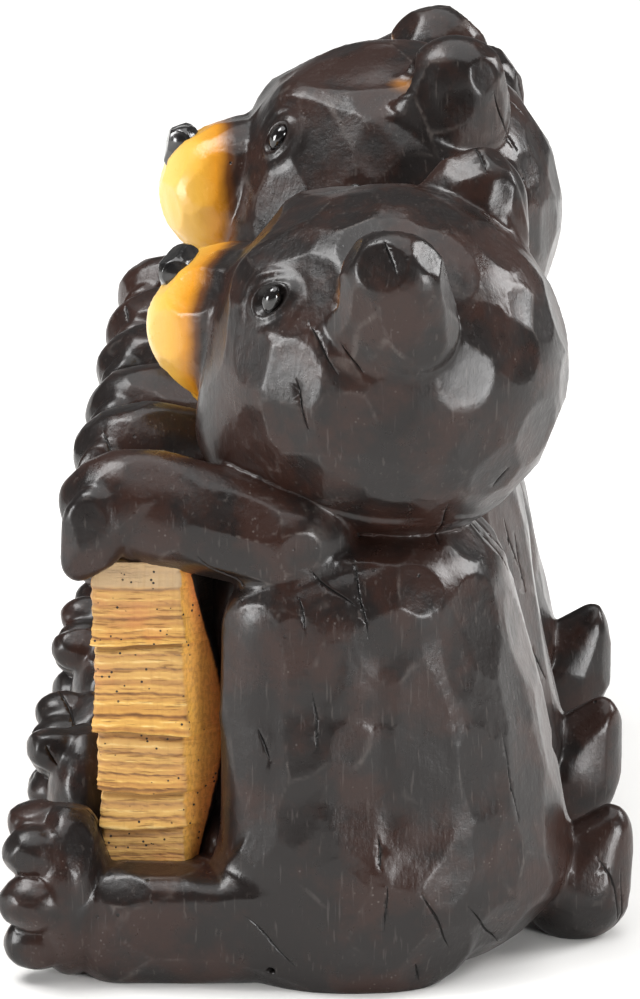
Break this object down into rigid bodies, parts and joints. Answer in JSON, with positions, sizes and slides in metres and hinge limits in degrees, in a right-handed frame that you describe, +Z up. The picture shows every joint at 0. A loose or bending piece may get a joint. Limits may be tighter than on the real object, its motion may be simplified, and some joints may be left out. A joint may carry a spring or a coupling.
{
  "type": "carved bear family group with sign board",
  "caption": "Cast ornament of carved bears sitting side by side, holding one blank wooden sign board across their laps.",
  "frame": {"origin": "on the ground, under the middle of the group's box", "axes": "+Z up, the bears face -Y, and they sit in a row along X"},
  "size_m": [0.3722, 0.2252, 0.3149],
  "materials": {
    "painted_resin": "satin gloss, near black brown stain over chisel facets, worn grey on the ridges, muzzles airbrushed yellow to amber",
    "sign_paint": "ochre and orange brown washes over split wood texture"
  },
  "bodies": {
    "root": {"bear_family": "painted_resin"}
  },
  "joints": []
}
